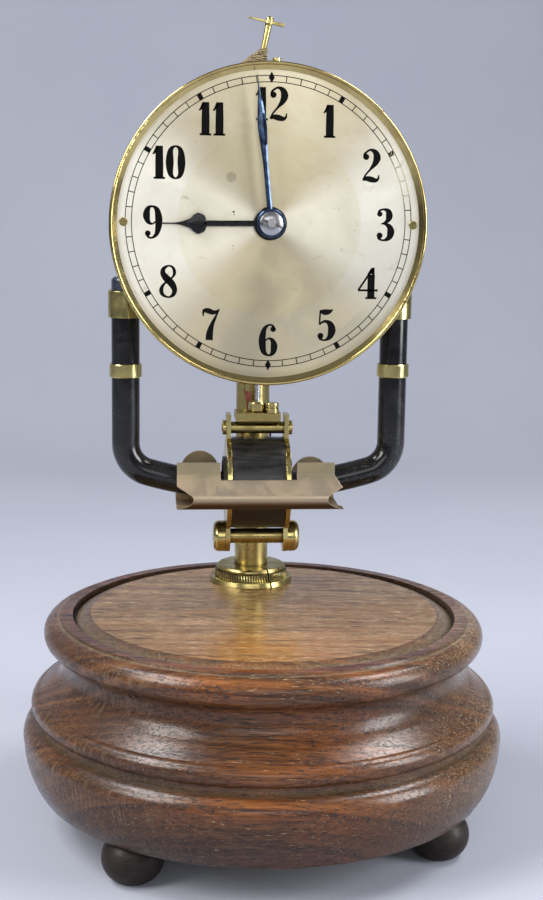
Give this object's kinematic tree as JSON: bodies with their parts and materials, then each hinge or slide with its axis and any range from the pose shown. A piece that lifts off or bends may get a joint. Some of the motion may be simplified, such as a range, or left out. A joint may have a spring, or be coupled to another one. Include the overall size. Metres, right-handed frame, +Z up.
{
  "type": "electric mantel clock",
  "caption": "Open electric mantel clock: round dial on a horseshoe magnet frame, swinging coil pendulum, turned wooden base on ball feet.",
  "frame": {"origin": "centre of the base on the surface it stands on", "axes": "+Z up, -Y the way the dial faces, +X to the right of the dial"},
  "size_m": [0.1874, 0.1874, 0.3103],
  "materials": {
    "oak": "waxed oak",
    "dark_wood": "ebonised",
    "black_paint": "gloss black enamel on steel",
    "brass": "polished and lacquered",
    "dial": "silvered and brushed",
    "blued_steel": "blued steel",
    "steel": "bright",
    "guard": "toned satin",
    "copper": "enamelled copper wire",
    "wrap": "black varnished cloth",
    "fibre": "red fibre",
    "silk": "waxed silk",
    "zinc": "zinc can in a plain printed sleeve",
    "cloth_lead": "cotton covered wire"
  },
  "bodies": {
    "stand": {"turned_oak_base": "oak", "foot_front_right": "dark_wood", "foot_rear_right": "dark_wood", "foot_rear_left": "dark_wood", "foot_front_left": "dark_wood", "dry_cell": "zinc", "contact_strips": "brass", "base_screws": "brass", "battery_leads": "cloth_lead", "column_tube": "brass", "column_collar": "brass", "column_nut": "brass", "magnet_bow": "black_paint", "magnet_arm_left": "black_paint", "magnet_arm_right": "black_paint", "magnet_ferrules": "brass", "magnet_clamps": "brass", "frame_plate": "brass", "column_head": "brass", "frame_screws": "steel", "suspension_cock": "brass", "silk_heap": "silk", "front_plate": "brass", "rear_plate": "brass", "plate_pillars": "brass", "dial": "dial", "bezel": "brass", "dial_screws": "brass"},
    "cover": {"bottom_cover": "brass"},
    "ring": {"knurled_ring": "brass"},
    "winder": {"winder_pin": "brass"},
    "minute": {"minute_arbor": "steel", "centre_wheel": "brass", "minute_hand": "blued_steel", "hand_nut": "steel"},
    "hour": {"hour_wheel": "brass", "hour_hand": "blued_steel"},
    "motion": {"minute_wheel": "brass"},
    "ratchet": {"ratchet_wheel": "steel"},
    "fork": {"pawl_arbor": "steel", "fork_lever": "brass"},
    "pendulum": {"pendulum_rod": "steel", "suspension_silk": "silk", "contact_pin": "steel", "side_plate_left": "brass", "side_plate_right": "brass", "bobbin": "wrap", "coil_winding": "copper", "coil_wrap": "wrap", "top_cross_rod": "brass", "top_rod_nuts": "brass", "bottom_cross_rod": "brass", "bridge_plate": "brass", "terminal_screw": "brass", "fibre_flag": "fibre", "coil_leads": "copper", "magnet_guard": "guard"},
    "rating": {"rating_nut": "brass"},
    "left_knob": {"knob_left": "brass"},
    "right_knob": {"knob_right": "brass"}
  },
  "joints": [
    {"name": "pendulum_swing", "type": "hinge", "parent": "stand", "child": "pendulum", "pos_m": [-0.00115, 0.0205, 0.288], "axis": [0, 1, 0], "range_deg": [-4, 4]},
    {"name": "fork_rock", "type": "hinge", "parent": "stand", "child": "fork", "pos_m": [-0.00115, 0.0175, 0.254], "axis": [0, 1, 0], "range_deg": [-8.3, 8.3]},
    {"name": "minute_hand_turn", "type": "hinge", "parent": "stand", "child": "minute", "pos_m": [0, -0.005, 0.2326], "axis": [0, 1, 0], "continuous": true},
    {"name": "hour_hand_turn", "type": "hinge", "parent": "stand", "child": "hour", "pos_m": [0, -0.003, 0.2326], "axis": [0, 1, 0], "continuous": true},
    {"name": "minute_wheel_turn", "type": "hinge", "parent": "stand", "child": "motion", "pos_m": [0, 0.001, 0.2206], "axis": [0, 1, 0], "continuous": true},
    {"name": "ratchet_wheel_turn", "type": "hinge", "parent": "stand", "child": "ratchet", "pos_m": [0.014, 0.009, 0.2466], "axis": [0, 1, 0], "continuous": true},
    {"name": "silk_winder_turn", "type": "hinge", "parent": "stand", "child": "winder", "pos_m": [-0.0016, 0.0205, 0.2924], "axis": [0.1977, 0, 0.9803], "range_deg": [-180, 180]},
    {"name": "rating_nut_turn", "type": "hinge", "parent": "pendulum", "child": "rating", "pos_m": [-0.00115, 0.0205, 0.161], "axis": [0, 0, 1], "range_deg": [-360, 360]},
    {"name": "left_knob_turn", "type": "hinge", "parent": "pendulum", "child": "left_knob", "pos_m": [-0.01594, 0.02112, 0.1078], "axis": [0.9991, -0.0419, 0], "range_deg": [-360, 360]},
    {"name": "right_knob_turn", "type": "hinge", "parent": "pendulum", "child": "right_knob", "pos_m": [0.01364, 0.01988, 0.1078], "axis": [0.9991, -0.0419, 0], "range_deg": [-360, 360]},
    {"name": "column_ring_turn", "type": "hinge", "parent": "stand", "child": "ring", "pos_m": [0, 0.0472, 0.0864], "axis": [0, 0, 1], "range_deg": [-60, 60]},
    {"name": "bottom_cover_turn", "type": "hinge", "parent": "stand", "child": "cover", "pos_m": [0, 0, 0.0172], "axis": [0, 0, 1], "range_deg": [0, 25]}
  ],
  "couplings": [
    {"joint": "fork_rock", "follows": "pendulum_swing", "ratio": 2.0625},
    {"joint": "hour_hand_turn", "follows": "minute_hand_turn", "ratio": 0.083333},
    {"joint": "minute_wheel_turn", "follows": "minute_hand_turn", "ratio": -0.33333},
    {"joint": "ratchet_wheel_turn", "follows": "minute_hand_turn", "ratio": -8}
  ]
}
